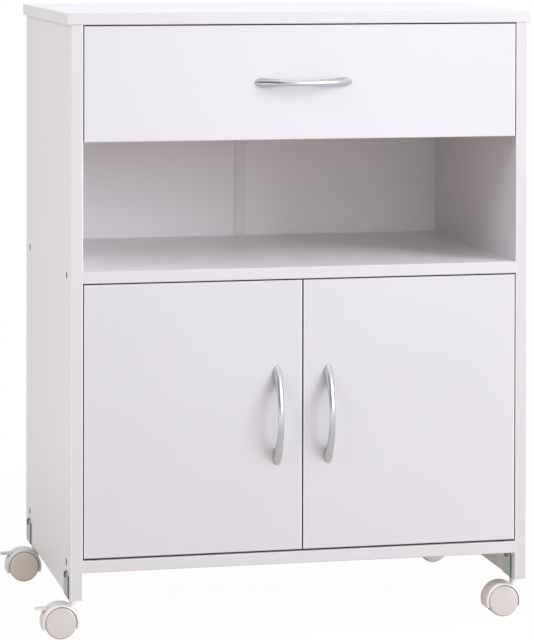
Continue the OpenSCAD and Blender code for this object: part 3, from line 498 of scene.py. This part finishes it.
# %% [markdown]
# The photograph's ground is pure white. To the camera and to shiny surfaces this floor is white
# too: most of it glows, and a small part is still lit by the lamps, which keeps a trace of the
# shadow, so the cabinet doesn't float. Right beside the cabinet it glows less to shiny surfaces,
# so more of its lit and shaded grey shows there: a painted shade for the cabinet's shadow on the
# floor. A step away the glow is full, and floor and backdrop meet without a line. To all other
# light the floor is a plain warm grey one, like screed, so what it throws up under the cabinet is
# soft and a little warm.

# %% Floor and backdrop
FLOOR_HALF = 14.0
GLOW_NEAR, GLOW_NEAR_MIRRORED = 0.97, 0.60
GLOW_FROM, GLOW_FULL = 0.45, 1.3
SCREED_MM = 60
AMBIENT = 0.60


def rectangle(name, half_u, half_v, corner):
    """A flat mesh of one face; corner turns its two half sides into a point."""
    mesh = bmesh.new()
    for u, v in ((-1, -1), (1, -1), (1, 1), (-1, 1)):
        mesh.verts.new(corner(u * half_u, v * half_v))
    mesh.faces.new(mesh.verts)
    return link_object(name, to_data(mesh, name))


def seen_or_mirrored(tree, path):
    """1 for rays from the camera, from shiny surfaces and through clear ones, else 0."""
    shiny = maths(tree, "MAXIMUM", path["Is Camera Ray"], path["Is Glossy Ray"])
    return maths(tree, "MAXIMUM", shiny, path["Is Transmission Ray"])


def pale_floor():
    """White that glows more the farther it is from the cabinet, and grey to soft light."""
    finish, tree, shader = new_finish("pale_floor", Roughness=0.8)
    path = add(tree, "LightPath").outputs
    screed = blend(tree, "#B6A28C", "#C0AD98", noise(tree, SCREED_MM, detail=4.0))
    paint(tree, shader, blend(tree, screed, "#FAFAFA", path["Is Camera Ray"]))
    away = add(tree, "VectorMath", links={0: own_place(tree)}, operation="LENGTH")
    # painted shade: close to the cabinet, shiny surfaces see the floor glow less
    near = add(tree, "MapRange", {"To Min": GLOW_NEAR_MIRRORED, "To Max": GLOW_NEAR},
               {"Value": path["Is Camera Ray"]}).outputs[0]
    glow = add(tree, "MapRange", {"From Min": GLOW_FROM, "From Max": GLOW_FULL, "To Max": 1.0},
               {"Value": away.outputs["Value"], "To Min": near},
               interpolation_type="SMOOTHSTEP").outputs["Result"]
    share = maths(tree, "MULTIPLY", seen_or_mirrored(tree, path), glow)
    white = add(tree, "Emission", {"Color": (1, 1, 1, 1), "Strength": 1.0})
    both = add(tree, "MixShader", links={0: share, 1: shader.outputs[0], 2: white.outputs[0]})
    tree.links.new(both.outputs[0], tree.nodes["Material Output"].inputs["Surface"])
    return finish


floor = rectangle("floor", FLOOR_HALF, FLOOR_HALF, lambda u, v: (u, v, cad_low.z))
floor.data.materials.append(pale_floor())

world = bpy.data.worlds.new("studio")
bpy.context.scene.world = world
world.use_nodes = True
sky = world.node_tree
seen = seen_or_mirrored(sky, add(sky, "LightPath").outputs)
level = add(sky, "MapRange", {"To Min": AMBIENT, "To Max": 1.0}, {"Value": seen}).outputs[0]
sky.links.new(level, sky.nodes["Background"].inputs["Strength"])
sky.links.new(blend(sky, "#F9FCFF", "#FFFFFF", seen), sky.nodes["Background"].inputs["Color"])
print("floor at z =", round(cad_low.z, 4))

# %% [markdown]
# The light is that of a small studio. The key is a tall softbox to the right and in front, from
# knee height to well above head height. Its height washes out the shadow below the drawer's
# handle, while the upright door handles still throw a bow-shaped one to the left. It reaches
# deep into the bay, whose back grows brighter to the left, away from the shaded right wall.
# A smaller box, high on the left, lights the side panel and the shelf. Weak ones fill in: one
# close to the front for the bay, one overhead for the top, and one near the floor on the left
# for the castors and the foot of the side panel. All are a little cooler than the air.

# %% Lamps
MIDDLE = (0.02, -0.15, 0.45)
LEFT_FOOT = (-0.28, 0.05, 0.06)
LAMP_COLOUR = "#F3F7FE"


def softbox(name, place, aim, size, watts):
    """A rectangular lamp of a width and height that looks from its place to its aim."""
    data = bpy.data.lights.new(name, "AREA")
    data.shape = "RECTANGLE"
    data.size, data.size_y = size
    data.energy = watts
    data.color = linear(LAMP_COLOUR)[:3]
    lamp = link_object(name, data)
    lamp.location = place
    lamp.rotation_euler = (Vector(aim) - Vector(place)).to_track_quat("-Z", "Y").to_euler()


softbox("tall_key_right", (2.3, -2.35, 1.65), MIDDLE, size=(1.6, 2.0), watts=96.0)
softbox("left_high", (-2.3, -1.6, 2.3), MIDDLE, size=(1.2, 1.2), watts=17.0)
softbox("near_front", (0.3, -1.6, 0.75), MIDDLE, size=(0.8, 0.8), watts=4.0)
softbox("overhead", (0.1, -0.4, 2.8), MIDDLE, size=(1.4, 1.4), watts=5.5)
softbox("low_left", (-1.0, -0.9, 0.12), LEFT_FOOT, size=(0.5, 0.5), watts=1.1)

# %% [markdown]
# Satin metal shows whatever stands round it. A grey card in front on the left, which only
# mirrored rays meet, dims the left half of the drawer's handle and draws a dark streak down the
# left flank of each door handle, as the unlit side of the room does in the photograph.

# %% Card for the handles
CARD_MIDDLE = (-1.375, -1.275, 1.5)
CARD_W, CARD_H = 1.6, 2.6
CARD_TURN = math.radians(-45)
CARD_CLOUD_MM = 8

card = rectangle("grey_card", CARD_W / 2, CARD_H / 2, lambda u, v: (u, 0, v))
card.location = CARD_MIDDLE
card.rotation_euler.z = CARD_TURN
card_paper, tree, shader = new_finish("grey_card_paper", Roughness=0.9)
paint(tree, shader, blend(tree, "#626264", "#68686A", noise(tree, CARD_CLOUD_MM)))
card.data.materials.append(card_paper)
for ray in ("camera", "diffuse", "transmission", "volume_scatter", "shadow"):
    setattr(card, "visible_" + ray, False)
print("card stands at", CARD_MIDDLE)

# %% [markdown]
# Last, the view transform is set to Standard.

# %% Finish
view = bpy.context.scene.view_settings
view.view_transform = "Standard"
